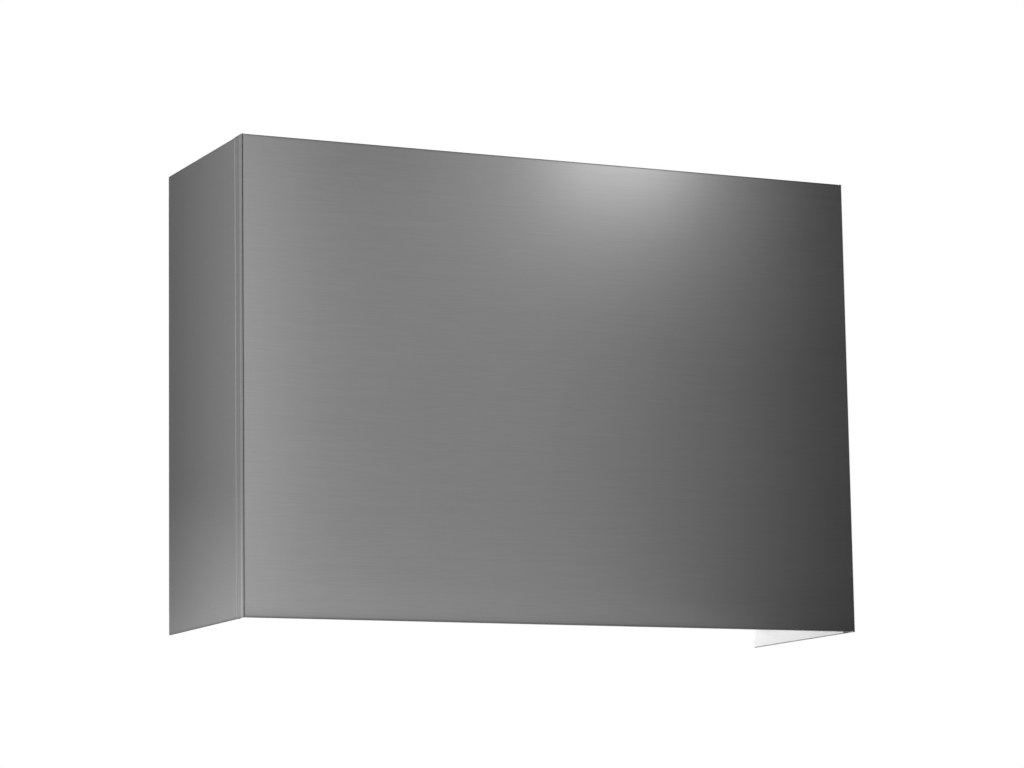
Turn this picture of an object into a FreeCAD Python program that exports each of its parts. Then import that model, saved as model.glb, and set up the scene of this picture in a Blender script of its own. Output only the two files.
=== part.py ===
"""Wall-mounted chimney section of a cooker hood: a duct cover of three folded stainless panels.

Millimetres. +Z is up, the front faces -Y and the wall is at +Y. The origin is the middle of the
bottom opening, on the plane where the cover stands on the hood.
"""
import FreeCAD, Part
import math
import os

V = FreeCAD.Vector

# Overall size of the cover
cover_width = 914.0
cover_depth = 290.0
cover_height = 640.0

# Stainless panels: sheet, bends and folded edges
sheet = 1.0
corner_bend = 1.0
flange_bend = 1.0
return_depth = 25.0
seam_flange = 16.0
seam_flange_mitre = 12.0
wall_flange = 25.0
wall_lip = 15.0
wall_flange_notch = 30.0
flange_corner = 4.0
hem_length = 10.0
hem_gap = 0.6
hem_relief = 0.8
hem_clearance = 3.0

# Corner seams: screws through the side panels' front flanges into nuts on the front panel's
seam_screw_count = 4
seam_screw_margin = 80.0

# Wall rails that tie the side panels together at the back and take the wall screws
rail_sheet = 1.5
rail_bend = 1.0
rail_height = 40.0
rail_margin = 60.0
rail_flange = 12.0
rail_relief = 1.5
wall_slot_width = 6.0
wall_slot_length = 20.0
wall_slot_spacing = 600.0

# Hat-section stiffeners bonded to the back of the front panel
stiffener_sheet = 0.8
stiffener_bend = 1.0
stiffener_crown = 26.0
stiffener_height = 12.0
stiffener_foot = 14.0
stiffener_spacing = 300.0
stiffener_clearance = 4.0

# M4 hexagon screws and hexagon weld nuts
screw_diameter = 4.0
screw_length = 8.0
head_across_flats = 7.0
head_height = 2.8
nut_across_flats = 9.0
nut_height = 3.5
screw_hole_clearance = 0.5
thread_clearance = 0.1

# Planes and places that follow from the sizes above
half_width = cover_width / 2
front_y = -cover_depth / 2
wall_y = cover_depth / 2
seam_y = front_y + return_depth
lip_x = half_width - wall_flange
seam_hole_x = half_width - (seam_flange + flange_bend + sheet) / 2
rail_hole_y = wall_y - (wall_lip + rail_bend + rail_sheet) / 2
screw_hole = screw_diameter + screw_hole_clearance

seam_screw_pitch = (cover_height - 2 * seam_screw_margin) / (seam_screw_count - 1)
seam_screw_heights = [seam_screw_margin + i * seam_screw_pitch for i in range(seam_screw_count)]
lower_rail_z = rail_margin + rail_height / 2
upper_rail_z = cover_height - rail_margin - rail_height / 2


def left_of(direction):
    """Turns a direction in the XY plane a quarter turn to the left."""
    return V(-direction.y, direction.x, 0)


def line(start, stop):
    """Straight edge between two points."""
    return Part.LineSegment(start, stop).toShape()


def arc(start, middle, stop):
    """Round edge through three points."""
    return Part.Arc(start, middle, stop).toShape()


def runs_and_bends(points):
    """Edges of a line that is straight but for an arc of three points at each corner."""
    edges = []
    for i in range(0, len(points) - 1, 3):
        edges.append(line(points[i], points[i + 1]))
        if i + 3 < len(points):
            edges.append(arc(*points[i + 1:i + 4]))
    return edges


def folded_section(outer_line, thickness, bends):
    """Section of a bent sheet to the left of a line, with an inner bend radius at each corner."""
    ways = [(after - before).normalize() for before, after in zip(outer_line, outer_line[1:])]
    near = [outer_line[0]]
    far = [outer_line[0] + left_of(ways[0]) * thickness]
    for corner, way_in, way_out, bend in zip(outer_line[1:], ways, ways[1:], bends):
        turn = math.copysign(1, way_in.cross(way_out).z)
        radius = bend + thickness if turn > 0 else bend
        run = radius * math.tan(way_in.getAngle(way_out) / 2)
        starts = corner - way_in * run
        ends = corner + way_out * run
        centre = starts + left_of(way_in) * radius * turn
        middle = (corner - centre).normalize()
        near += [starts, centre + middle * radius, ends]
        far += [starts + left_of(way_in) * thickness, centre + middle * (radius - turn * thickness),
                ends + left_of(way_out) * thickness]
    near.append(outer_line[-1])
    far.append(outer_line[-1] + left_of(ways[-1]) * thickness)
    edges = runs_and_bends(near) + [line(near[-1], far[-1])]
    edges += runs_and_bends(far)[::-1] + [line(far[0], near[0])]
    return Part.Face(Part.Wire(edges))


def edge_section(points, arcs, corner, inward, outward):
    """Section given by points (inward, outward) from a panel's edge.

    arcs gives the middle of the arc that leaves a point, by the point's number.
    """
    placed = [corner + inward * u + outward * v for u, v in points]
    edges = []
    for i, start in enumerate(placed):
        stop = placed[(i + 1) % len(placed)]
        if i in arcs:
            u, v = arcs[i]
            edges.append(arc(start, corner + inward * u + outward * v, stop))
        else:
            edges.append(line(start, stop))
    return Part.Face(Part.Wire(edges))


def hem_section(corner, inward, outward):
    """Edge folded back flat on the inside of its panel, from where the fold starts."""
    outer = sheet + hem_gap / 2
    inner = hem_gap / 2
    points = [(0, -outer), (2 * outer, -outer), (2 * outer, -hem_length), (2 * outer - sheet, -hem_length),
              (2 * outer - sheet, -outer), (sheet, -outer)]
    return edge_section(points, {0: (outer, 0), 4: (outer, inner - outer)}, corner, inward, outward)


def flange_section(corner, inward, outward, depth, thickness, bend):
    """Edge bent square to its panel, from where the bend starts."""
    outer = bend + thickness
    slant = math.sqrt(0.5)
    points = [(0, -outer), (outer, 0), (depth, 0), (depth, -thickness), (outer, -thickness),
              (thickness, -outer)]
    outer_middle = (outer - outer * slant, outer * slant - outer)
    inner_middle = (outer - bend * slant, bend * slant - outer)
    return edge_section(points, {0: outer_middle, 4: inner_middle}, corner, inward, outward)


def fold_edge(panel, section, corner, inward, outward, along, fold_height, relief, thickness):
    """Cuts an edge back to its fold, with a slit at each end, and joins the folded edge on."""
    slit = along * (relief / along.Length)
    near = corner - slit - inward * thickness
    far = corner - slit + inward * 2 * thickness
    above = outward * thickness
    below = outward * -fold_height
    outline = Part.makePolygon([near + below, far + below, far + above, near + above, near + below])
    trimmed = panel.cut(Part.Face(outline).extrude(along + slit * 2))
    return trimmed.fuse(section.extrude(along)).removeSplitter()


def hemmed(panel, corner, inward, along):
    """Hems the bottom and the top edge of a panel; the corner is where the bottom hem starts."""
    fold_height = sheet + hem_gap / 2
    for height, outward in ((0, V(0, 0, -1)), (cover_height, V(0, 0, 1))):
        start = corner + V(0, 0, height)
        section = hem_section(start, inward, outward)
        panel = fold_edge(panel, section, start, inward, outward, along, fold_height, hem_relief, sheet)
    return panel


def drilled(solid, centres, axis, diameter, thickness):
    """Drills round holes through a sheet; the centres lie in the middle of its thickness."""
    for centre in centres:
        hole = Part.makeCylinder(diameter / 2, 2 * thickness, centre - axis * thickness, axis)
        solid = solid.cut(hole)
    return solid


def edges_at(solid, middles):
    """Edges of a solid that have their middles at given points."""
    return [edge for edge in solid.Edges if any(edge.CenterOfMass.isEqual(m, 1e-3) for m in middles)]


def rounded(solid, corners, radius):
    """Rounds the free corners of flanges, each given as the middle of its short edge."""
    return solid.makeFillet(radius, edges_at(solid, corners))


def mitred(solid, corners, cut):
    """Cuts the free corners of flanges at a slant, each given as the middle of its short edge."""
    return solid.makeChamfer(cut, edges_at(solid, corners))


def mirrored(shape):
    """The same shape on the other side of the cover."""
    return shape.mirror(V(0, 0, 0), V(1, 0, 0))


def front_panel():
    """Front sheet with returns round both corners and a seam flange behind each return."""
    right_half = [V(half_width, front_y), V(half_width, seam_y), V(half_width - seam_flange, seam_y)]
    left_half = [V(-point.x, point.y) for point in reversed(right_half)]
    bends = [flange_bend, corner_bend, corner_bend, flange_bend]
    panel = folded_section(left_half + right_half, sheet, bends).extrude(V(0, 0, cover_height))
    flange_middle = seam_y - sheet / 2
    edge_x = half_width - seam_flange
    corners = [V(x, flange_middle, z) for x in (-edge_x, edge_x) for z in (0, cover_height)]
    panel = mitred(panel, corners, seam_flange_mitre)
    hem_end = half_width - sheet - corner_bend - hem_clearance
    panel = hemmed(panel, V(-hem_end, front_y, 0), V(0, 1, 0), V(2 * hem_end, 0, 0))
    holes = [V(x, flange_middle, z) for x in (-seam_hole_x, seam_hole_x) for z in seam_screw_heights]
    return drilled(panel, holes, V(0, 1, 0), screw_hole, sheet)


def side_panel():
    """Left side sheet: a seam flange at the front, a wall flange and a stiffening lip at the back.

    The wall flange and its lip are cut back at both ends, where the hems run out to the back edge.
    """
    back_edge = wall_y - sheet - flange_bend
    front_line = [V(-half_width, seam_y), V(-half_width + seam_flange, seam_y)]
    back_line = [V(-lip_x, wall_y - wall_lip), V(-lip_x, wall_y), V(-half_width, wall_y)]
    plain = folded_section([V(-half_width, back_edge)] + front_line, sheet, [flange_bend])
    flanged = folded_section(back_line + front_line, sheet, [flange_bend] * 3)
    flanged = flanged.extrude(V(0, 0, cover_height - 2 * wall_flange_notch))
    flanged.translate(V(0, 0, wall_flange_notch))
    panel = plain.extrude(V(0, 0, cover_height)).fuse(flanged).removeSplitter()
    flange_middle = seam_y + sheet / 2
    lip_middle = -lip_x - sheet / 2
    lip_ends = (wall_flange_notch, cover_height - wall_flange_notch)
    panel = rounded(panel, [V(lip_middle, wall_y - wall_lip, z) for z in lip_ends], flange_corner)
    edge_x = -half_width + seam_flange
    panel = mitred(panel, [V(edge_x, flange_middle, z) for z in (0, cover_height)], seam_flange_mitre)
    hem_start = seam_y + sheet + flange_bend + hem_clearance
    panel = hemmed(panel, V(-half_width, hem_start, 0), V(1, 0, 0), V(0, back_edge - hem_start, 0))
    seam_holes = [V(-seam_hole_x, flange_middle, z) for z in seam_screw_heights]
    panel = drilled(panel, seam_holes, V(0, 1, 0), screw_hole, sheet)
    rail_holes = [V(lip_middle, rail_hole_y, z) for z in (lower_rail_z, upper_rail_z)]
    return drilled(panel, rail_holes, V(1, 0, 0), screw_hole, sheet)


def wall_rail(rail_z):
    """Rail on the wall between the side panels' lips, with an ear at each end and slots for wall screws.

    rail_z is the height of its middle, where the slots and the screws are.
    """
    ear_end = wall_y - wall_lip
    outer_line = [V(lip_x, ear_end), V(lip_x, wall_y), V(-lip_x, wall_y), V(-lip_x, ear_end)]
    rail = folded_section(outer_line, rail_sheet, [rail_bend] * 2).extrude(V(0, 0, rail_height))
    ear_middle = lip_x - rail_sheet / 2
    rail = rounded(rail, [V(x, ear_end, z) for x in (-ear_middle, ear_middle) for z in (0, rail_height)],
                   flange_corner)
    flange_end = lip_x - rail_sheet - rail_bend - rail_relief
    start = V(-flange_end, wall_y, rail_height)
    along = V(2 * flange_end, 0, 0)
    inward = V(0, -1, 0)
    section = flange_section(start, inward, V(0, 0, 1), rail_flange, rail_sheet, rail_bend)
    fold_height = rail_bend + rail_sheet
    rail = fold_edge(rail, section, start, inward, V(0, 0, 1), along, fold_height, rail_relief, rail_sheet)
    rail.translate(V(0, 0, rail_z - rail_height / 2))
    ear_holes = [V(x, rail_hole_y, rail_z) for x in (-ear_middle, ear_middle)]
    rail = drilled(rail, ear_holes, V(1, 0, 0), screw_hole, rail_sheet)
    for x in (-wall_slot_spacing / 2, wall_slot_spacing / 2):
        rail = rail.cut(wall_slot(x, rail_z))
    return rail


def wall_slot(x, z):
    """Cutter for a slot with round ends along X, through the rail's web."""
    radius = wall_slot_width / 2
    reach = wall_slot_length / 2 - radius
    depth = V(0, 3 * rail_sheet, 0)
    behind = wall_y - 2 * rail_sheet
    corners = [V(x - reach, behind, z - radius), V(x + reach, behind, z - radius),
               V(x + reach, behind, z + radius), V(x - reach, behind, z + radius)]
    right_end = V(x + reach + radius, behind, z)
    left_end = V(x - reach - radius, behind, z)
    edges = [line(corners[0], corners[1]), arc(corners[1], right_end, corners[2]),
             line(corners[2], corners[3]), arc(corners[3], left_end, corners[0])]
    return Part.Face(Part.Wire(edges)).extrude(depth)


def stiffener():
    """Left hat-section stiffener, standing clear of the front panel's hems."""
    back = front_y + sheet
    crown_y = back + stiffener_height - stiffener_sheet
    foot_start = stiffener_crown / 2
    right_half = [V(foot_start, crown_y), V(foot_start, back), V(foot_start + stiffener_foot, back)]
    left_half = [V(-point.x, point.y) for point in reversed(right_half)]
    bottom = hem_length + stiffener_clearance
    hat = folded_section(left_half + right_half, stiffener_sheet, [stiffener_bend] * 4)
    hat = hat.extrude(V(0, 0, cover_height - 2 * bottom))
    hat.translate(V(-stiffener_spacing / 2, 0, bottom))
    return hat


def hexagon(across_flats, height):
    """Hexagonal prism that stands on the plane z = 0."""
    radius = across_flats / math.sqrt(3)
    turns = [i * math.pi / 3 for i in range(6)]
    corners = [V(radius * math.cos(turn), radius * math.sin(turn), 0) for turn in turns]
    return Part.Face(Part.makePolygon(corners + corners[:1])).extrude(V(0, 0, height))


def hex_screw():
    """Screw along Z with its head above the plane z = 0 and its shank below."""
    shank = Part.makeCylinder(screw_diameter / 2, screw_length, V(0, 0, -screw_length))
    return hexagon(head_across_flats, head_height).fuse(shank)


def weld_nut():
    """Nut along Z that seats against the plane z = 0 from below."""
    body = hexagon(nut_across_flats, nut_height)
    body.translate(V(0, 0, -nut_height))
    bore = Part.makeCylinder((screw_diameter + thread_clearance) / 2, nut_height, V(0, 0, -nut_height))
    return body.cut(bore)


def set_out(fastener, places, axis):
    """Copies of a fastener at several places, with its Z along the axis, as one group of solids."""
    turn = FreeCAD.Rotation(V(0, 0, 1), axis)
    copies = []
    for place in places:
        copy = fastener.copy()
        copy.Placement = FreeCAD.Placement(place, turn)
        copies.append(copy)
    return Part.makeCompound(copies)


def seam_screws():
    """Screws of the left corner seam, their heads on the side panel's flange."""
    places = [V(-seam_hole_x, seam_y + sheet, z) for z in seam_screw_heights]
    return set_out(hex_screw(), places, V(0, 1, 0))


def seam_nuts():
    """Nuts of the left corner seam, welded to the front panel's flange."""
    places = [V(-seam_hole_x, seam_y - sheet, z) for z in seam_screw_heights]
    return set_out(weld_nut(), places, V(0, 1, 0))


def at_both_ends(fastener, x, rail_z):
    """A fastener at the left end of a rail, and its mirror image at the right end."""
    left_end = set_out(fastener, [V(-x, rail_hole_y, rail_z)], V(1, 0, 0))
    return Part.makeCompound(left_end.Solids + mirrored(left_end).Solids)


def rail_screws(rail_z):
    """Screws at both ends of a rail, their heads on its ears."""
    return at_both_ends(hex_screw(), lip_x - rail_sheet, rail_z)


def rail_nuts(rail_z):
    """Nuts at both ends of a rail, welded to the side panels' lips."""
    return at_both_ends(weld_nut(), lip_x + sheet, rail_z)


nodes = {"front_panel": front_panel()}
for name, left_piece in (("side_panel", side_panel()), ("stiffener", stiffener()),
                         ("seam_screws", seam_screws()), ("seam_nuts", seam_nuts())):
    nodes["left_" + name] = left_piece
    nodes["right_" + name] = mirrored(left_piece)
for end, rail_z in (("lower", lower_rail_z), ("upper", upper_rail_z)):
    nodes[end + "_wall_rail"] = wall_rail(rail_z)
    nodes[end + "_rail_screws"] = rail_screws(rail_z)
    nodes[end + "_rail_nuts"] = rail_nuts(rail_z)

os.makedirs("parts", exist_ok=True)
for name, shape in nodes.items():
    shape.exportStep("parts/" + name + ".step")
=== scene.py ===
"""Looks of a cooker hood's chimney section: stainless panels, wall rails and their fasteners.

Metres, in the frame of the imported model: +Z is up, the front faces -Y and the wall is at +Y.
"""
import logging
import math
from dataclasses import dataclass
from enum import Enum
from typing import Any, Mapping, Optional, Protocol, Sequence, Union

import bpy
from mathutils import Matrix, Vector


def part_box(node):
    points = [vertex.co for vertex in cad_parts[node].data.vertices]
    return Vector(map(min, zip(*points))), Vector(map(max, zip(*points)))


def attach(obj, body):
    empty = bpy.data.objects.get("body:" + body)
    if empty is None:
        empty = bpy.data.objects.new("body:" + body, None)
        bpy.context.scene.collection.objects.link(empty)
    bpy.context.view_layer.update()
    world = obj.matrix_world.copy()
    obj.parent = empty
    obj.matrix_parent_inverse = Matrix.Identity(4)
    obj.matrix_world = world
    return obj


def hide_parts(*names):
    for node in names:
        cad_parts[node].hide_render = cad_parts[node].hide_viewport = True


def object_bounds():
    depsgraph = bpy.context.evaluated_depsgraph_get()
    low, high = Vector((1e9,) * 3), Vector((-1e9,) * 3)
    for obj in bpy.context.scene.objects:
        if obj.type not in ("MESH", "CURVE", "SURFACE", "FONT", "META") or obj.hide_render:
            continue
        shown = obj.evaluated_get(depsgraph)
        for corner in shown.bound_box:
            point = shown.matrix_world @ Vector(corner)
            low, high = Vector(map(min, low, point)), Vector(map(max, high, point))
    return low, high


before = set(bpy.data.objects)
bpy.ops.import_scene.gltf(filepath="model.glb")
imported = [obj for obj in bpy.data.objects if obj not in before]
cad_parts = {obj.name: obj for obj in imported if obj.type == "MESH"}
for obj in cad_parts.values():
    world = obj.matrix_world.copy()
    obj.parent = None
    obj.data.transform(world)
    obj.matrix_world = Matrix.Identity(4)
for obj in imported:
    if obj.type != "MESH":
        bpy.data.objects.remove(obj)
CAD_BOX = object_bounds()

log = logging.getLogger("chimney_section")

BODY = "root"
MM = 0.001
QUARTER_TURN = math.pi / 2

Grey = float
Point = tuple[float, float, float]
Stops = tuple[tuple[float, Grey], ...]

EVEN: Stops = ((0.0, 1.0),)


class Slot(Enum):
    """Material slots of the record, which name the finishes too."""

    STAINLESS = "brushed_stainless"
    GALVANISED = "galvanised_steel"
    FASTENER = "plated_fastener"


class Side(Enum):
    """The two ends of the cover, each with its sign along X."""

    LEFT = -1
    RIGHT = 1

    def node(self, piece: str) -> str:
        """Name of this end's CAD node."""
        return f"{self.name.lower()}_{piece}"


class Level(Enum):
    """The two wall rails."""

    LOWER = "lower"
    UPPER = "upper"

    def node(self, piece: str) -> str:
        """Name of this rail's CAD node."""
        return f"{self.value}_{piece}"


class Signal:
    """A shader value that takes part in Python expressions."""

    def __init__(self, graph: "Graph", socket: bpy.types.NodeSocket) -> None:
        """Wraps an output socket of a graph.

        Args:
            graph: The graph that the socket belongs to.
            socket: The output socket.
        """
        self.graph = graph
        self.socket = socket

    def __add__(self, other: "Number") -> "Signal":
        """Sum of two values."""
        return self.graph.math("ADD", self, other)

    def __radd__(self, other: "Number") -> "Signal":
        """Sum with a number on the left."""
        return self.graph.math("ADD", other, self)

    def __sub__(self, other: "Number") -> "Signal":
        """Difference of two values."""
        return self.graph.math("SUBTRACT", self, other)

    def __rsub__(self, other: "Number") -> "Signal":
        """Difference with a number on the left."""
        return self.graph.math("SUBTRACT", other, self)

    def __mul__(self, other: "Number") -> "Signal":
        """Product of two values."""
        return self.graph.math("MULTIPLY", self, other)

    def __rmul__(self, other: "Number") -> "Signal":
        """Product with a number on the left."""
        return self.graph.math("MULTIPLY", other, self)

    def __truediv__(self, other: "Number") -> "Signal":
        """Quotient of two values."""
        return self.graph.math("DIVIDE", self, other)

    def __rtruediv__(self, other: "Number") -> "Signal":
        """Quotient with a number on the left."""
        return self.graph.math("DIVIDE", other, self)

    def __gt__(self, other: "Number") -> "Signal":
        """One where this value is the larger one, else zero."""
        return self.graph.math("GREATER_THAN", self, other)


Number = Union[Signal, float, int]
Feed = Union[Signal, float, int, Sequence[float]]
Feeds = Mapping[Union[str, int], Feed]


def total(parts: Sequence[Signal]) -> Signal:
    """Sum of one or more values."""
    return sum(parts[1:], parts[0])


class Graph:
    """Node tree of a material or of the world."""

    # Mean of a noise, and of each channel of a cell's colour.
    MEAN = 0.5

    # Numbers of a Mix node's colour sockets, whose names the node's other sockets share.
    MIX_FACTOR, MIX_FIRST, MIX_SECOND, MIX_RESULT = 0, 6, 7, 2

    def __init__(self, tree: bpy.types.NodeTree) -> None:
        """Takes over a tree and empties it.

        Args:
            tree: The node tree.
        """
        self.tree = tree
        self.tree.nodes.clear()

    def add(self, kind: str, settings: Optional[Mapping[str, Any]] = None,
            feeds: Optional[Feeds] = None) -> bpy.types.Node:
        """Adds a node.

        Args:
            kind: Node type, such as ShaderNodeTexNoise.
            settings: Properties that are set first; "stops" holds a ramp's (place, grey) stops.
            feeds: Values or signals of its inputs, by name or by number.

        Returns:
            The new node.
        """
        node = self.tree.nodes.new(kind)
        for key, value in (settings or {}).items():
            if key == "stops":
                self._set_stops(node.color_ramp, value)
            else:
                setattr(node, key, value)
        for key, feed in (feeds or {}).items():
            if isinstance(feed, Signal):
                self.tree.links.new(feed.socket, node.inputs[key])
            else:
                node.inputs[key].default_value = feed
        return node

    @staticmethod
    def _set_stops(ramp: bpy.types.ColorRamp, stops: Stops) -> None:
        """Writes the stops of a grey ramp.

        Args:
            ramp: The ramp of a Color Ramp node.
            stops: Places from 0 to 1 and greys, in rising order.
        """
        while len(ramp.elements) > len(stops):
            ramp.elements.remove(ramp.elements[-1])
        while len(ramp.elements) < len(stops):
            ramp.elements.new(1.0)
        for element, (place, grey) in zip(ramp.elements, stops):
            element.position = place
            element.color = (grey, grey, grey, 1.0)

    def out(self, node: bpy.types.Node, name: Union[str, int] = 0) -> Signal:
        """One output of a node."""
        return Signal(self, node.outputs[name])

    def math(self, operation: str, first: Number, second: Number) -> Signal:
        """Adds a Math node.

        Args:
            operation: Name of the operation.
            first: First value.
            second: Second value.

        Returns:
            The result.
        """
        node = self.add("ShaderNodeMath", {"operation": operation}, {0: first, 1: second})
        return self.out(node)

    def vector(self, operation: str, first: Feed, second: Feed, output: str = "Vector") -> Signal:
        """Adds a Vector Math node.

        Args:
            operation: Name of the operation.
            first: First vector.
            second: Second vector.
            output: "Vector", or "Value" for a dot product.

        Returns:
            The result.
        """
        node = self.add("ShaderNodeVectorMath", {"operation": operation}, {0: first, 1: second})
        return self.out(node, output)

    def clamp(self, value: Number) -> Signal:
        """Keeps a value between 0 and 1."""
        return self.out(self.add("ShaderNodeClamp", feeds={"Value": value}))

    def mix_colour(self, factor: Number, first: Feed, second: Feed) -> Signal:
        """Mixes two colours.

        Args:
            factor: 0 for the first colour, 1 for the second.
            first: First colour.
            second: Second colour.

        Returns:
            The mixed colour.
        """
        node = self.add("ShaderNodeMix", {"data_type": "RGBA"}, {
            self.MIX_FACTOR: factor, self.MIX_FIRST: first, self.MIX_SECOND: second})
        return self.out(node, self.MIX_RESULT)

    def grey(self, value: Number, tint: Point = (1.0, 1.0, 1.0)) -> Signal:
        """Colour of a tint scaled by a value."""
        scaled = self.out(self.add("ShaderNodeCombineXYZ", feeds={0: value, 1: value, 2: value}))
        return self.vector("MULTIPLY", scaled, tint)

    def place(self) -> Signal:
        """Place on the object, in metres."""
        return self.out(self.add("ShaderNodeTexCoord"), "Object")

    def position(self) -> tuple[Signal, ...]:
        """X, Y and Z of the place in the scene, in metres."""
        place = self.out(self.add("ShaderNodeNewGeometry"), "Position")
        split = self.add("ShaderNodeSeparateXYZ", feeds={0: place})
        return tuple(self.out(split, axis) for axis in "XYZ")

    def noise(self, place: Signal, cell: Point, detail: float = 2.0) -> Signal:
        """Adds noise with cells of a given size.

        Args:
            place: Place on the object.
            cell: Size of a cell along X, Y and Z, in metres.
            detail: Octaves of finer noise.

        Returns:
            Noise from about -0.5 to 0.5, with a mean of zero.
        """
        stretched = self.vector("MULTIPLY", place, tuple(1.0 / size for size in cell))
        feeds = {"Vector": stretched, "Scale": 1.0, "Detail": detail}
        return self.out(self.add("ShaderNodeTexNoise", feeds=feeds)) - self.MEAN

    def bump(self, height: Signal, depth: float, under: Optional[Signal] = None) -> Signal:
        """Turns a height into a surface direction.

        Args:
            height: Height, where 1 stands out by the depth.
            depth: Depth in metres.
            under: Surface direction that the bumps sit on.

        Returns:
            The new surface direction.
        """
        feeds: dict[Union[str, int], Feed] = {"Height": height, "Distance": depth, "Strength": 1.0}
        if under is not None:
            feeds["Normal"] = under
        return self.out(self.add("ShaderNodeBump", feeds=feeds))

    def close(self, shader: bpy.types.Node) -> None:
        """Links a shader to the output of the material or the world."""
        lights_world = shader.type == "BACKGROUND"
        kind = "ShaderNodeOutputWorld" if lights_world else "ShaderNodeOutputMaterial"
        self.add(kind, feeds={"Surface": self.out(shader)})

    def close_metal(self, feeds: Feeds) -> None:
        """Adds a metal shader with the given inputs and links it to the output."""
        self.close(self.add("ShaderNodeBsdfPrincipled", feeds={"Metallic": 1.0, **feeds}))


def new_material(name: str) -> tuple[bpy.types.Material, Graph]:
    """Makes an empty node material.

    Args:
        name: Name of the material.

    Returns:
        The material and its graph.
    """
    material = bpy.data.materials.new(name)
    material.use_nodes = True
    return material, Graph(material.node_tree)


@dataclass(frozen=True)
class Tone:
    """Grey and roughness of a surface, and how far each of its patterns swings them.

    A grey swing is a share of the grey, and a roughness swing is added to the roughness.
    """

    grey: Grey
    roughness: float
    grey_swings: tuple[float, ...]
    roughness_swings: tuple[float, ...]

    def greys(self, patterns: Sequence[Signal]) -> Signal:
        """Grey over the surface, from patterns that swing round zero."""
        return self.grey * (1 + self._swung(self.grey_swings, patterns))

    def roughnesses(self, patterns: Sequence[Signal]) -> Signal:
        """Roughness over the surface, from patterns that swing round zero."""
        return self.roughness + self._swung(self.roughness_swings, patterns)

    @staticmethod
    def _swung(swings: Sequence[float], patterns: Sequence[Signal]) -> Signal:
        """Sum of the patterns that have a swing, each times its swing."""
        return total([swing * pattern for swing, pattern in zip(swings, patterns) if swing])


@dataclass(frozen=True)
class PaintedHighlightLine:
    """Painted highlight: a pale upright line on the sides, where a bend or a seam edge catches
    light.

    Its middle is a distance behind the front, its reach is where it has faded out, and its gain
    is what it adds to the grey, as a share.
    """

    middle: float
    reach: float
    gain: float


@dataclass(frozen=True)
class BrushedStainless:
    """Stainless sheet, brushed level on its outside and left bright inside.

    The swings of its tones are those of the grain, the longer streaks and the wide clouds. The
    folds at the top, the bottom and the front corners get painted shade, for the dark reflections
    in the bends. Painted highlights make a pale line beside each front corner, and another along
    each seam, for the light caught by the bends and the seam edges.
    """

    slot: Slot = Slot.STAINLESS
    brushed: Tone = Tone(0.42, 0.33, (0.22, 0.04, 0.05), (0.1, 0.05, 0.04))
    bright: Tone = Tone(0.76, 0.4, (0.0, 0.05, 0.12), (0.0, 0.0, 0.08))
    grain_cell: Point = (40 * MM, 40 * MM, 0.45 * MM)
    streak_cell: Point = (300 * MM, 300 * MM, 5 * MM)
    cloud_size: float = 140 * MM
    wave_size: float = 220 * MM
    grain_depth: float = 0.004 * MM
    wave_depth: float = 0.25 * MM
    anisotropy: float = 0.3
    upright_stretch: float = 0.25
    # Painted shade: share of the grey taken off along the folds, for the dark reflections in the
    # bends.
    fold_shade: float = 0.2
    fold_reach: float = 3 * MM
    fold_fade: float = 1 * MM
    # Painted highlights beside each front corner and along each seam, as pale lines in the grey.
    painted_highlights: tuple[PaintedHighlightLine, ...] = (PaintedHighlightLine(6.5 * MM, 4 * MM, 0.5), PaintedHighlightLine(24 * MM, 6 * MM, 0.15))
    outside_margin: float = 1 * MM

    def material(self) -> bpy.types.Material:
        """Builds the material."""
        material, graph = new_material(self.slot.value)
        place = graph.place()
        grain = graph.noise(place, self.grain_cell)
        streaks = graph.noise(place, self.streak_cell)
        clouds = graph.noise(place, (self.cloud_size,) * 3)
        patterns = (grain, streaks, clouds)
        outside = self._outside(graph)
        # Painted shade along the folds, plus painted highlight lines beside the corners and seams.
        painted_shade_and_highlights = 1 - self.fold_shade * self._folds(graph) + self._painted_highlight_gain(graph)
        shaded = self.brushed.greys(patterns) * painted_shade_and_highlights
        inside = self.bright.greys(patterns)
        satin = self.brushed.roughnesses(patterns)
        shiny = self.bright.roughnesses(patterns)
        waves = graph.noise(place, (self.wave_size,) * 3, detail=0.0)
        wavy = graph.bump(waves, self.wave_depth)
        graph.close_metal({
            "Base Color": graph.mix_colour(outside, graph.grey(inside), graph.grey(shaded)),
            "Roughness": shiny + outside * (satin - shiny),
            "Normal": graph.bump(outside * grain, self.grain_depth, wavy),
            "Anisotropic": self.anisotropy, "Anisotropic Rotation": self.upright_stretch})
        return material

    def _folds(self, graph: Graph) -> Signal:
        """One on the folds that take painted shade, fading to zero beside them."""
        low, high = CAD_BOX
        x, y, z = graph.position()
        from_end = graph.math("MINIMUM", z - low.z, high.z - z)
        from_corner = high.x - graph.math("ABSOLUTE", x, 0.0) + y - low.y
        nearest = graph.math("MINIMUM", from_end, from_corner)
        return graph.clamp((self.fold_reach - nearest) / self.fold_fade)

    def _painted_highlight_gain(self, graph: Graph) -> Signal:
        """What the painted highlight lines add to the grey, as a share."""
        _, y, _ = graph.position()
        from_front = y - CAD_BOX[0].y
        parts = []
        for mark in self.painted_highlights:
            aside = graph.math("ABSOLUTE", from_front - mark.middle, 0.0)
            parts.append(mark.gain * graph.clamp(1 - aside / mark.reach))
        return total(parts)

    def _outside(self, graph: Graph) -> Signal:
        """One on faces that look away from the middle of the cover, else zero."""
        geometry = graph.add("ShaderNodeNewGeometry")
        level = graph.vector("MULTIPLY", graph.out(geometry, "Position"), (1.0, 1.0, 0.0))
        away = graph.vector("DOT_PRODUCT", level, graph.out(geometry, "True Normal"), "Value")
        return away > self.outside_margin


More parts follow.
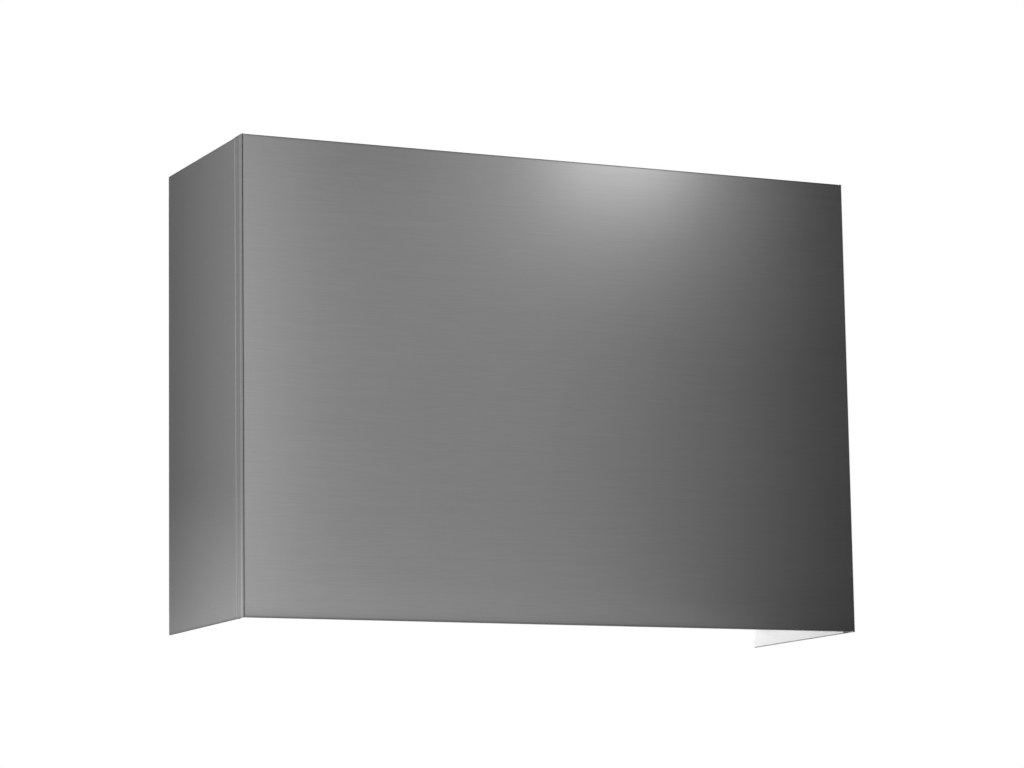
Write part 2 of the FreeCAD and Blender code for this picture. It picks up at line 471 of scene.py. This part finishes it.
@dataclass(frozen=True)
class GalvanisedSheet:
    """Zinc-coated sheet with a faint spangle of flat crystals.

    The swings of its tone are those of the crystals' shades, their tilts, the clouds and the
    specks.
    """

    slot: Slot = Slot.GALVANISED
    tone: Tone = Tone(0.5, 0.42, (0.16, 0.0, 0.2, 0.1), (0.0, 0.14, 0.1, 0.0))
    tint: Point = (0.98, 1.0, 1.02)
    spangle_size: float = 9 * MM
    cloud_size: float = 70 * MM
    speck_size: float = 0.6 * MM
    speck_depth: float = 0.01 * MM

    def material(self) -> bpy.types.Material:
        """Builds the material."""
        material, graph = new_material(self.slot.value)
        place = graph.place()
        scaled = graph.vector("MULTIPLY", place, (1 / self.spangle_size,) * 3)
        cells = graph.add("ShaderNodeTexVoronoi", feeds={"Vector": scaled, "Scale": 1.0})
        split = graph.add("ShaderNodeSeparateColor", feeds={0: graph.out(cells, "Color")})
        shades = graph.out(split, "Red") - graph.MEAN
        tilts = graph.out(split, "Green") - graph.MEAN
        clouds = graph.noise(place, (self.cloud_size,) * 3)
        specks = graph.noise(place, (self.speck_size,) * 3)
        patterns = (shades, tilts, clouds, specks)
        graph.close_metal({
            "Base Color": graph.grey(self.tone.greys(patterns), self.tint),
            "Roughness": self.tone.roughnesses(patterns),
            "Normal": graph.bump(specks, self.speck_depth)})
        return material


@dataclass(frozen=True)
class ZincPlate:
    """Bright zinc plating of small screws and nuts.

    The swings of its tone are those of the stains and the specks.
    """

    slot: Slot = Slot.FASTENER
    tone: Tone = Tone(0.6, 0.26, (0.3, 0.15), (0.16, 0.1))
    tint: Point = (1.0, 0.99, 0.95)
    stain_size: float = 2.5 * MM
    speck_size: float = 0.25 * MM
    speck_depth: float = 0.006 * MM

    def material(self) -> bpy.types.Material:
        """Builds the material."""
        material, graph = new_material(self.slot.value)
        place = graph.place()
        stains = graph.noise(place, (self.stain_size,) * 3)
        specks = graph.noise(place, (self.speck_size,) * 3)
        patterns = (stains, specks)
        graph.close_metal({
            "Base Color": graph.grey(self.tone.greys(patterns), self.tint),
            "Roughness": self.tone.roughnesses(patterns),
            "Normal": graph.bump(specks, self.speck_depth)})
        return material


@dataclass(frozen=True)
class FloorPaint:
    """Plain pale paint that is seen from above only, so a low camera looks past the floor."""

    name: str = "pale_floor"
    grey: Grey = 0.86
    roughness: float = 0.7
    gloss: float = 0.0

    def material(self) -> bpy.types.Material:
        """Builds the material."""
        material, graph = new_material(self.name)
        paint = graph.add("ShaderNodeBsdfPrincipled", feeds={
            "Base Color": (self.grey, self.grey, self.grey, 1.0), "Roughness": self.roughness,
            "Specular IOR Level": self.gloss})
        clear = graph.add("ShaderNodeBsdfTransparent")
        below = graph.out(graph.add("ShaderNodeNewGeometry"), "Backfacing")
        graph.close(graph.add("ShaderNodeMixShader", feeds={
            0: below, 1: graph.out(paint), 2: graph.out(clear)}))
        return material


@dataclass(frozen=True)
class CardGlow:
    """Glow of a studio card.

    The stops give the glow at distances along the card's run, and the share of it that is left at
    distances along its rise. A clear card adds its glow to what is behind it.
    """

    along: Stops = EVEN
    across: Stops = EVEN
    strength: float = 1.0
    clear: bool = False

    def material(self, name: str, start: Point, run: Point, rise: Point) -> bpy.types.Material:
        """Builds the material of one card.

        Args:
            name: Name of the material.
            start: Corner where both edges of the card start.
            run: First edge.
            rise: Second edge.

        Returns:
            The material.
        """
        material, graph = new_material(name)
        from_start = graph.vector("SUBTRACT", graph.place(), start)
        glow = self._ramp(graph, from_start, run, self.along)
        left = self._ramp(graph, from_start, rise, self.across)
        colour = graph.vector("MULTIPLY", glow, left)
        shader = graph.add("ShaderNodeEmission", feeds={
            "Color": colour, "Strength": self.strength})
        if self.clear:
            behind = graph.add("ShaderNodeBsdfTransparent")
            shader = graph.add("ShaderNodeAddShader", feeds={
                0: graph.out(shader), 1: graph.out(behind)})
        graph.close(shader)
        return material

    @staticmethod
    def _ramp(graph: Graph, from_start: Signal, edge: Point, stops: Stops) -> Signal:
        """Grey that changes along one edge of the card.

        Args:
            graph: Graph of the material.
            from_start: Place on the card, from the corner where both edges start.
            edge: The edge.
            stops: Greys at distances along the edge.

        Returns:
            The grey.
        """
        way = Vector(edge)
        share = graph.vector("DOT_PRODUCT", from_start, tuple(way / way.length_squared), "Value")
        shares = tuple((distance / way.length, grey) for distance, grey in stops)
        return graph.out(graph.add("ShaderNodeValToRGB", {"stops": shares}, {0: share}))


def new_object(name: str, points: Sequence[Vector],
               faces: Sequence[tuple[int, ...]]) -> bpy.types.Object:
    """Makes a mesh object in the scene.

    Args:
        name: Name of the object and of its mesh.
        points: Its points.
        faces: Numbers of the points round each face.

    Returns:
        The object.
    """
    mesh = bpy.data.meshes.new(name)
    mesh.from_pydata([tuple(point) for point in points], [], faces)
    made = bpy.data.objects.new(name, mesh)
    bpy.context.scene.collection.objects.link(made)
    return made


def flat_object(name: str, start: Point, run: Point, rise: Point) -> bpy.types.Object:
    """Makes a flat object of one face.

    Args:
        name: Name of the object.
        start: Corner where both edges start.
        run: First edge.
        rise: Second edge.

    Returns:
        The object.
    """
    corner, along, across = Vector(start), Vector(run), Vector(rise)
    corners = [corner, corner + along, corner + along + across, corner + across]
    return new_object(name, corners, [(0, 1, 2, 3)])


def dress_node(name: str, material: bpy.types.Material) -> None:
    """Gives a CAD node a better material.

    Args:
        name: Name of the node.
        material: The material for all its slots.
    """
    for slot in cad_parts[name].material_slots:
        slot.material = material
    log.info("dressed %s with %s", name, material.name)


class Ring(Protocol):
    """Closed line round the Z axis."""

    def at(self, angle: float) -> tuple[float, float]:
        """Radius and height at an angle."""


@dataclass(frozen=True)
class RoundRing:
    """Circle round the Z axis."""

    radius: float
    height: float

    def at(self, angle: float) -> tuple[float, float]:
        """Radius and height, the same at every angle."""
        return self.radius, self.height


@dataclass(frozen=True)
class HexagonRing:
    """Hexagon round the Z axis with a corner at angle 0.

    With a slope it is the edge of a cone, which has the given height at the radius of its land.
    """

    across_flats: float
    height: float
    slope: float = 0.0
    land: float = 0.0

    def at(self, angle: float) -> tuple[float, float]:
        """Radius and height at an angle."""
        sixth = math.pi / 3
        radius = self.across_flats / 2 / math.cos((angle % sixth) - sixth / 2)
        return radius, self.height + self.slope * (radius - self.land)


@dataclass(frozen=True)
class ThreadRing:
    """Level cut through a screw thread, whose ridge may be worn down to a part of its depth."""

    radius: float
    height: float
    pitch: float
    depth: float
    ridge_left: float
    flank: float = 1.25

    def at(self, angle: float) -> tuple[float, float]:
        """Radius and height at an angle."""
        turn = (self.height / self.pitch - angle / math.tau) % 1.0
        ridge = min(1.0, self.flank * (1.0 - abs(2.0 * turn - 1.0)))
        return self.radius - self.depth * (1.0 - ridge * self.ridge_left), self.height


class RingMesh:
    """Mesh of rings round an axis and the faces between them."""

    def __init__(self, steps: int = 36) -> None:
        """Starts with nothing.

        Args:
            steps: Points in a ring.
        """
        self.steps = steps
        self.points: list[Vector] = []
        self.faces: list[tuple[int, ...]] = []

    def add(self, rings: Sequence[Ring]) -> list[list[int]]:
        """Adds rings round Z.

        Args:
            rings: The rings.

        Returns:
            Numbers of the points in each ring.
        """
        added = []
        for ring in rings:
            start = len(self.points)
            for i in range(self.steps):
                angle = math.tau * i / self.steps
                radius, height = ring.at(angle)
                x, y = radius * math.cos(angle), radius * math.sin(angle)
                self.points.append(Vector((x, y, height)))
            added.append(list(range(start, len(self.points))))
        return added

    def skin(self, rings: Sequence[list[int]]) -> None:
        """Joins each ring to the next with a closed band of faces."""
        for low, high in zip(rings, rings[1:]):
            for i in range(self.steps):
                j = (i + 1) % self.steps
                self.faces.append((low[i], low[j], high[j], high[i]))

    def cap(self, ring: list[int], upward: bool) -> None:
        """Closes a ring with one face."""
        self.faces.append(tuple(ring if upward else reversed(ring)))

    def copied(self, places: Sequence[Matrix]) -> "RingMesh":
        """The same mesh at several places.

        Args:
            places: Turn and place of each copy.

        Returns:
            A mesh with all the copies.
        """
        made = RingMesh(self.steps)
        for place in places:
            start = len(made.points)
            made.points.extend(place @ point for point in self.points)
            made.faces.extend(tuple(start + i for i in face) for face in self.faces)
        return made

    def to_object(self, name: str, sharp_angle: float = math.radians(28)) -> bpy.types.Object:
        """Makes an object of the mesh.

        Args:
            name: Name of the object and of its mesh.
            sharp_angle: Edges that turn further than this stay sharp.

        Returns:
            The object, in the scene.
        """
        made = new_object(name, self.points, self.faces)
        made.data.polygons.foreach_set("use_smooth", [True] * len(self.faces))
        made.data.set_sharp_from_angle(angle=sharp_angle)
        made.data.validate()
        return made


@dataclass(frozen=True)
class HexScrew:
    """M4 hexagon screw along Z, its head above the plane z = 0 and its shank below.

    The shares give the radius of the head's land and of its dish, in halves of the width over the
    flats, and the radius of the dish's floor, in radii of the dish.
    """

    diameter: float = 4 * MM
    length: float = 8 * MM
    pitch: float = 0.7 * MM
    thread_depth: float = 0.36 * MM
    tip_taper: float = 0.6 * MM
    rings_per_pitch: int = 6
    across_flats: float = 7 * MM
    head_height: float = 2.8 * MM
    chamfer: float = math.radians(30)
    land_share: float = 0.94
    dish_share: float = 0.66
    dish_floor_share: float = 0.82
    dish_depth: float = 0.3 * MM

    @property
    def above(self) -> float:
        """Reach above its seat."""
        return self.head_height

    @property
    def below(self) -> float:
        """Reach below its seat."""
        return self.length

    def build(self) -> RingMesh:
        """Builds the threaded shank and the chamfered head with its dished top."""
        mesh = RingMesh()
        shank = mesh.add(self._thread())
        land = self.across_flats / 2 * self.land_share
        dish = self.across_flats / 2 * self.dish_share
        head = mesh.add([
            RoundRing(self.diameter / 2, 0.0),
            HexagonRing(self.across_flats, 0.0),
            HexagonRing(self.across_flats, self.head_height, -math.tan(self.chamfer), land),
            RoundRing(land, self.head_height),
            RoundRing(dish, self.head_height),
            RoundRing(dish * self.dish_floor_share, self.head_height - self.dish_depth)])
        mesh.skin(shank + head)
        mesh.cap(shank[0], upward=False)
        mesh.cap(head[-1], upward=True)
        return mesh

    def _thread(self) -> list[ThreadRing]:
        """Cuts through the shank from its tip up to the head; the thread runs out at the tip."""
        count = int(self.length / self.pitch * self.rings_per_pitch)
        rings = []
        for i in range(count):
            from_tip = self.length * i / count
            ridge_left = min(1.0, from_tip / self.tip_taper)
            rings.append(ThreadRing(self.diameter / 2, from_tip - self.length, self.pitch,
                                    self.thread_depth, ridge_left))
        return rings


@dataclass(frozen=True)
class WeldNut:
    """M4 hexagon weld nut along Z, seated against the plane z = 0 from below.

    The land share gives the radius of its outer face's land, in halves of the width over the
    flats.
    """

    bore: float = 4.1 * MM
    across_flats: float = 9 * MM
    height: float = 3.5 * MM
    chamfer: float = math.radians(30)
    land_share: float = 0.95
    countersink: float = 0.35 * MM

    @property
    def above(self) -> float:
        """Reach above its seat."""
        return 0.0

    @property
    def below(self) -> float:
        """Reach below its seat."""
        return self.height

    def build(self) -> RingMesh:
        """Builds the hexagon with its chamfered outer face and countersunk bore."""
        mesh = RingMesh()
        land = self.across_flats / 2 * self.land_share
        inner = self.bore / 2
        rings = mesh.add([
            RoundRing(inner, self.countersink - self.height),
            RoundRing(inner + self.countersink, -self.height),
            RoundRing(land, -self.height),
            HexagonRing(self.across_flats, -self.height, math.tan(self.chamfer), land),
            HexagonRing(self.across_flats, 0.0),
            RoundRing(inner, 0.0)])
        mesh.skin(rings + rings[:1])
        return mesh


Fastener = Union[HexScrew, WeldNut]


@dataclass
class CoverPanels:
    """The folded front panel and the two side panels."""

    finish: BrushedStainless = BrushedStainless()

    def dress(self) -> None:
        """Brushes the three panels."""
        material = self.finish.material()
        dress_node("front_panel", material)
        for side in Side:
            dress_node(side.node("side_panel"), material)


@dataclass
class HiddenSheetwork:
    """Hat stiffeners behind the front, and the two wall rails."""

    finish: GalvanisedSheet = GalvanisedSheet()

    def dress(self) -> None:
        """Zinc-coats the stiffeners and the rails."""
        material = self.finish.material()
        for side in Side:
            dress_node(side.node("stiffener"), material)
        for level in Level:
            dress_node(level.node("wall_rail"), material)


@dataclass
class Fasteners:
    """Screws and nuts of the corner seams and of the rails' ears, each over its CAD node."""

    seam_count: int = 4
    screw: HexScrew = HexScrew()
    nut: WeldNut = WeldNut()
    finish: ZincPlate = ZincPlate()

    def build(self) -> None:
        """Builds every screw and nut over its CAD node and plates it."""
        material = self.finish.material()
        for piece, fastener in (("screws", self.screw), ("nuts", self.nut)):
            mesh = fastener.build()
            for side in Side:
                node = side.node(f"seam_{piece}")
                self._stand_in(node, mesh.copied(self._seam_places(node, fastener)), material)
            for level in Level:
                node = level.node(f"rail_{piece}")
                self._stand_in(node, mesh.copied(self._rail_places(node, fastener)), material)

    def _seam_places(self, node: str, fastener: Fastener) -> list[Matrix]:
        """Places up a corner seam, where the fasteners point back to the wall.

        Args:
            node: CAD node of the seam's screws or nuts.
            fastener: One of them.

        Returns:
            Turn and place of each.
        """
        low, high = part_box(node)
        lowest = low.z + fastener.across_flats / 2
        pitch = (high.z - low.z - fastener.across_flats) / (self.seam_count - 1)
        facing = Matrix.Rotation(-QUARTER_TURN, 4, "X")
        places = []
        for i in range(self.seam_count):
            seat = Vector(((low.x + high.x) / 2, high.y - fastener.above, lowest + i * pitch))
            places.append(Matrix.Translation(seat) @ facing)
        return places

    @staticmethod
    def _rail_places(node: str, fastener: Fastener) -> list[Matrix]:
        """Places at the two ends of a rail, where the fasteners point to the middle of the cover.

        Args:
            node: CAD node of the rail's screws or nuts.
            fastener: One of them.

        Returns:
            Turn and place of each.
        """
        low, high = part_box(node)
        places = []
        for side in Side:
            seat = Vector((side.value * (high.x - fastener.below), (low.y + high.y) / 2,
                           (low.z + high.z) / 2))
            facing = Matrix.Rotation(-side.value * QUARTER_TURN, 4, "Y")
            places.append(Matrix.Translation(seat) @ facing)
        return places

    @staticmethod
    def _stand_in(node: str, mesh: RingMesh, material: bpy.types.Material) -> None:
        """Makes the piece that stands for a CAD node.

        Args:
            node: Name of the node.
            mesh: Its detailed mesh.
            material: Its finish.
        """
        piece = mesh.to_object(f"{node}_detailed")
        piece.data.materials.append(material)
        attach(piece, BODY)
        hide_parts(node)
        log.info("built %s", piece.name)


@dataclass(frozen=True)
class Card:
    """Studio card that shows in reflections only, and spans its run and rise from one corner."""

    name: str
    start: Point
    run: Point
    rise: Point
    glow: CardGlow

    def build(self) -> None:
        """Builds the card, hidden from the camera, from diffuse light and from shadows."""
        card = flat_object(self.name, self.start, self.run, self.rise)
        card.data.materials.append(
            self.glow.material(f"{self.name}_glow", self.start, self.run, self.rise))
        card.visible_camera = False
        card.visible_diffuse = False
        card.visible_shadow = False


@dataclass
class Studio:
    """Plain pale floor and soft light from all round, with a few cards that shape the reflections.

    Cards stand in front of the cover, at its left, behind it and above it. The gaps are their
    distances from the cover, or from the front card for the two top lights, and the lift keeps
    them off the floor.
    """

    floor_size: float = 24.0
    world_grey: Grey = 1.0
    dark: Grey = 0.08
    front_gap: float = 0.5
    wall_gap: float = 25 * MM
    back_gap: float = 855 * MM
    softbox_gap: float = 25 * MM
    glow_gap: float = 15 * MM
    lift: float = 1 * MM
    left_end: float = -1.2
    card_width: float = 3.2
    card_height: float = 1.6
    flag_depth: float = 0.41
    ceiling_width: float = 2.3
    ceiling_depth: float = 1.2
    paint: FloorPaint = FloorPaint()

    def build(self) -> None:
        """Builds the world, the floor and the cards."""
        self._world()
        self._floor()
        for card in self._front_cards() + self._flags() + self._back_cards() + self._top_cards():
            card.build()
        log.info("lit the studio")

    def _world(self) -> None:
        """Even white light from all round, which is the background too."""
        world = bpy.data.worlds.new("white_room")
        world.use_nodes = True
        graph = Graph(world.node_tree)
        colour = (self.world_grey,) * 3 + (1.0,)
        graph.close(graph.add("ShaderNodeBackground", feeds={"Color": colour, "Strength": 1.0}))
        bpy.context.scene.world = world

    def _floor(self) -> None:
        """Floor that the cover stands on."""
        size = self.floor_size
        corner = (-size / 2, -size / 2, 0.0)
        floor = flat_object("floor", corner, (size, 0.0, 0.0), (0.0, size, 0.0))
        floor.data.materials.append(self.paint.material())

    @property
    def front_y(self) -> float:
        """Place of the upright card in front of the cover."""
        return CAD_BOX[0].y - self.front_gap

    def _front_cards(self) -> list[Card]:
        """Upright card that the front mirrors, and a card on the floor in front of the cover."""
        run = (self.card_width, 0.0, 0.0)
        return [
            Card(name="front_card", start=(self.left_end, self.front_y, self.lift), run=run,
                 rise=(0.0, 0.0, self.card_height), glow=CardGlow(
                     along=((0.0, self.dark), (0.65, self.dark), (0.7, 0.6), (0.85, 0.97),
                            (0.95, 0.77), (1.05, 0.5), (1.2, 0.48), (1.41, 0.485), (1.55, 0.4),
                            (1.69, 0.295), (1.83, 0.19), (1.93, self.dark), (2.3, 0.06),
                            (2.6, 0.5), (3.2, 0.55)),
                     across=((0.0, 1.0), (0.65, 1.0), (0.8, 0.88), (0.95, 0.75), (1.2, 0.35),
                             (1.6, 0.2)))),
            Card(name="front_floor_card", start=(self.left_end, CAD_BOX[0].y, self.lift), run=run,
                 rise=(0.0, -self.front_gap, 0.0), glow=CardGlow(
                     along=((0.0, 0.6), (0.9, 1.0), (1.2, 0.74), (1.42, 0.64), (1.6, 0.1),
                            (1.9, 0.03), (3.2, 0.03)),
                     across=((0.0, 0.3), (0.01, 0.4), (0.05, 1.0))))]

    def _flags(self) -> list[Card]:
        """Dark cards at the left and above."""
        flag = CardGlow(along=((0.0, self.dark),))
        return [
            Card(name="left_flag", start=(self.left_end, self.front_y, self.lift),
                 run=(0.0, self.flag_depth, 0.0), rise=(0.0, 0.0, self.card_height), glow=flag),
            Card(name="ceiling_card", start=(self.left_end, self.front_y, self.card_height),
                 run=(self.ceiling_width, 0.0, 0.0), rise=(0.0, self.ceiling_depth, 0.0),
                 glow=flag)]

    def _back_cards(self) -> list[Card]:
        """Pale card beside the left side's back edge, and a bright one that the inside mirrors."""
        wall_y = CAD_BOX[1].y + self.wall_gap
        back_y = CAD_BOX[1].y + self.back_gap
        return [
            Card(name="wall_card", start=(-0.8, wall_y, self.lift), run=(0.34, 0.0, 0.0),
                 rise=(0.0, 0.0, self.card_height), glow=CardGlow(
                     along=((0.0, 0.95), (0.2, 0.9), (0.34, 0.42)),
                     across=((0.0, 1.0), (0.06, 0.8), (0.2, 0.52), (1.6, 0.5)))),
            Card(name="back_card", start=(-0.42, back_y, self.lift), run=(0.66, 0.0, 0.0),
                 rise=(0.0, 0.0, 0.42), glow=CardGlow(strength=1.55))]

    def _top_cards(self) -> list[Card]:
        """Clear lights before the front card, for the highlight near the front's upper edge."""
        return [
            Card(name="top_softbox", start=(0.233, self.front_y + self.softbox_gap, 0.73),
                 run=(0.22, 0.0, 0.0), rise=(0.0, 0.0, 0.1),
                 glow=CardGlow(strength=2.35, clear=True)),
            Card(name="top_glow", start=(0.0, self.front_y + self.glow_gap, 0.5),
                 run=(0.67, 0.0, 0.0), rise=(0.0, 0.0, 0.5), glow=CardGlow(
                     along=((0.0, 0.0), (0.08, 0.5), (0.24, 0.65), (0.44, 1.0), (0.55, 0.75),
                            (0.67, 0.0)),
                     across=((0.0, 0.0), (0.1, 0.35), (0.2, 0.55), (0.28, 1.0), (0.5, 0.9)),
                     strength=0.41, clear=True))]


@dataclass(frozen=True)
class PhotoCamera:
    """Camera at the photograph's viewing angle, below the cover and to its left."""

    place: Point = (-2.0464, -4.3624, -0.3959)
    azimuth: float = math.radians(25.123)
    elevation: float = math.radians(-8.796)
    roll: float = math.radians(-0.917)
    lens_mm: float = 122.48
    sensor_mm: float = 36.0
    sight: float = 100.0

    def build(self) -> None:
        """Builds the camera and makes it the scene's own."""
        level = math.cos(self.elevation)
        back = Vector((-math.sin(self.azimuth) * level, -math.cos(self.azimuth) * level,
                       math.sin(self.elevation)))
        right = Vector((0.0, 0.0, 1.0)).cross(back).normalized()
        up = back.cross(right)
        cos_roll, sin_roll = math.cos(self.roll), math.sin(self.roll)
        axes = (right * cos_roll + up * sin_roll, up * cos_roll - right * sin_roll, back)
        data = bpy.data.cameras.new("photo_camera")
        data.lens = self.lens_mm
        data.sensor_width = self.sensor_mm
        data.clip_end = self.sight
        camera = bpy.data.objects.new("photo_camera", data)
        turn = Matrix(axes).transposed().to_4x4()
        camera.matrix_world = Matrix.Translation(self.place) @ turn
        bpy.context.scene.collection.objects.link(camera)
        bpy.context.scene.camera = camera
        log.info("set the camera")


def main() -> None:
    """Builds the scene: camera, studio, panels, hidden sheetwork and fasteners."""
    logging.basicConfig(level=logging.INFO, format="%(name)s: %(message)s")
    bpy.context.scene.view_settings.view_transform = "Standard"
    PhotoCamera().build()
    Studio().build()
    CoverPanels().dress()
    HiddenSheetwork().dress()
    Fasteners().build()


if __name__ == "__main__":
    main()
